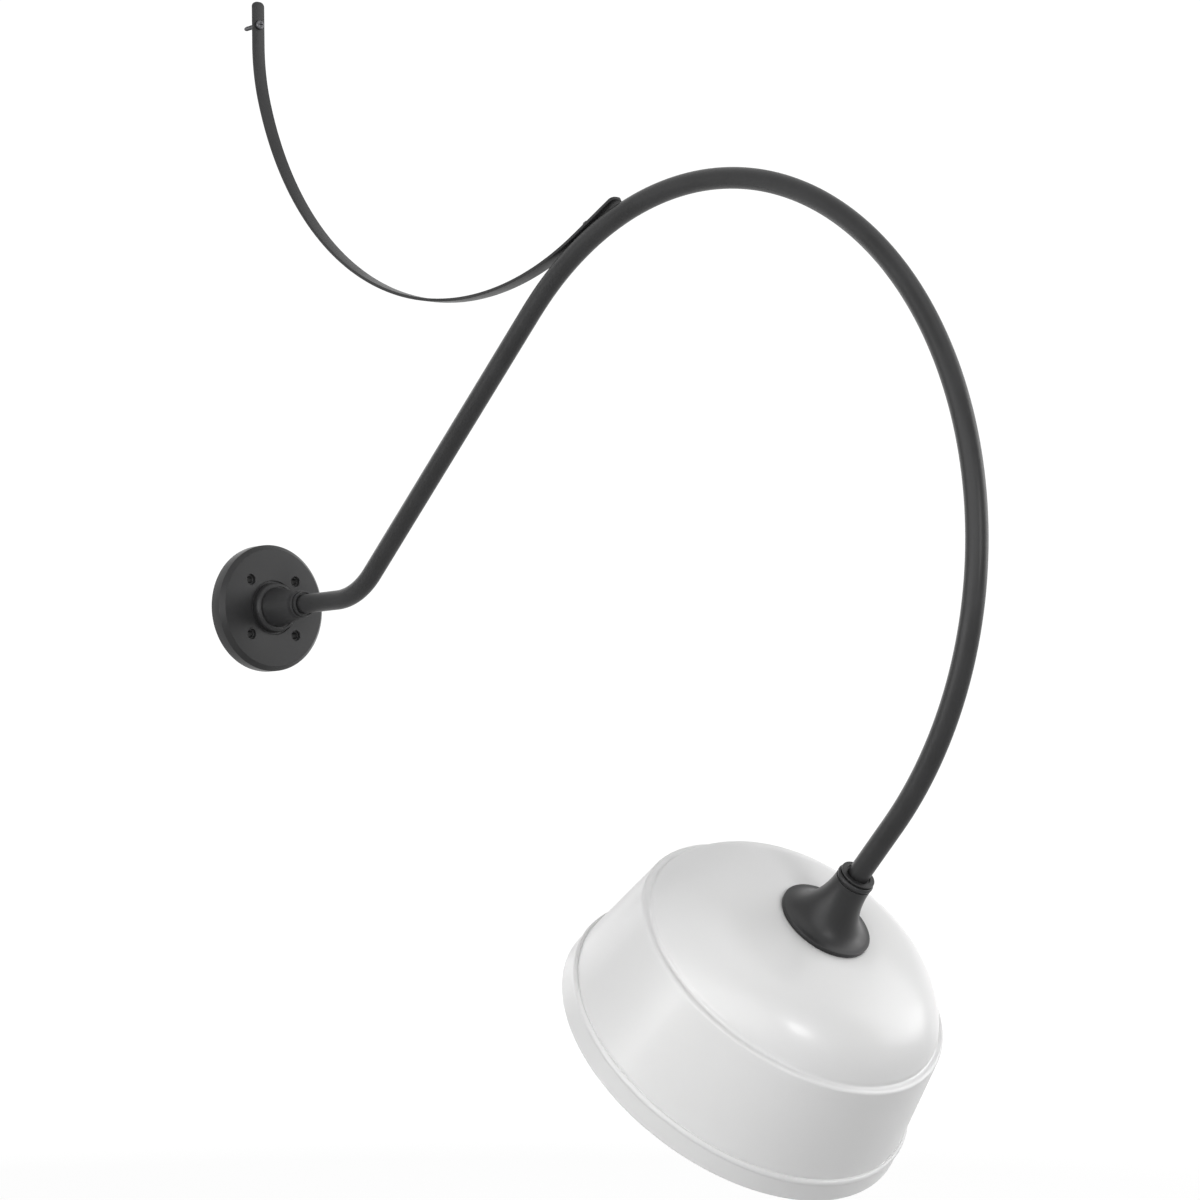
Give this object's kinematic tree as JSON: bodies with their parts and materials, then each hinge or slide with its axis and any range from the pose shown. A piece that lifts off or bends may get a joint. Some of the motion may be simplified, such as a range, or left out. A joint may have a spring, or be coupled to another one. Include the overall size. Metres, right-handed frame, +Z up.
{
  "type": "barn light",
  "caption": "Wall-held barn light: long gooseneck arm with a flat strap brace, cast wall canopy and a wide white spun shade that faces the wall, with a bulb that unscrews.",
  "frame": {"origin": "centre of the canopy on the wall plane, which is also the centre of its four mounting holes", "axes": "+X out from the wall, +Z up the wall, Y along the wall; the arm lies in the plane Y = 0"},
  "size_m": [1.0146, 0.33, 1.1721],
  "materials": {
    "powder_black": "satin black powder coat",
    "shade_white": "gloss white enamel on spun metal",
    "zinc_steel": "bright zinc plating",
    "black_steel": "black oxide",
    "green_steel": "green lacquered head",
    "foam_rubber": "closed-cell foam",
    "wire_black": "satin insulation",
    "wire_white": "satin insulation",
    "cup_steel": "plain pressed sheet",
    "porcelain": "clear glaze",
    "brass": "plain",
    "shell_brass": "plain",
    "bulb_metal": "rolled thread",
    "bulb_black": "black glass",
    "solder": "solder",
    "opal_glass": "white coated glass"
  },
  "bodies": {
    "fixture": {"wall_canopy": "powder_black", "canopy_gasket": "foam_rubber", "earth_screw": "green_steel", "hub": "powder_black", "hub_locknut": "zinc_steel", "hub_lock_ring": "powder_black", "hub_set_screw": "black_steel", "arm_tube": "powder_black", "wire_black": "wire_black", "wire_white": "wire_white", "strap": "powder_black", "strap_wall_screw": "black_steel", "strap_arm_screw": "zinc_steel", "neck_fitter": "powder_black", "neck_lock_ring": "powder_black", "neck_set_screw": "black_steel", "shade_gasket": "foam_rubber", "shade": "shade_white", "shade_screws": "zinc_steel", "socket_cup": "cup_steel", "socket_body": "porcelain", "socket_screws": "zinc_steel", "terminals": "brass", "terminal_screws": "brass", "socket_shell": "shell_brass", "socket_contact": "shell_brass"},
    "bulb": {"bulb_base": "bulb_metal", "bulb_insulator": "bulb_black", "bulb_contact": "solder", "bulb_glass": "opal_glass"}
  },
  "joints": [
    {"name": "bulb_turn", "type": "hinge", "parent": "fixture", "child": "bulb", "pos_m": [0.77303, 0, -0.34357], "axis": [-0.7242, 0, -0.6896], "range_deg": [0, 1080]}
  ]
}
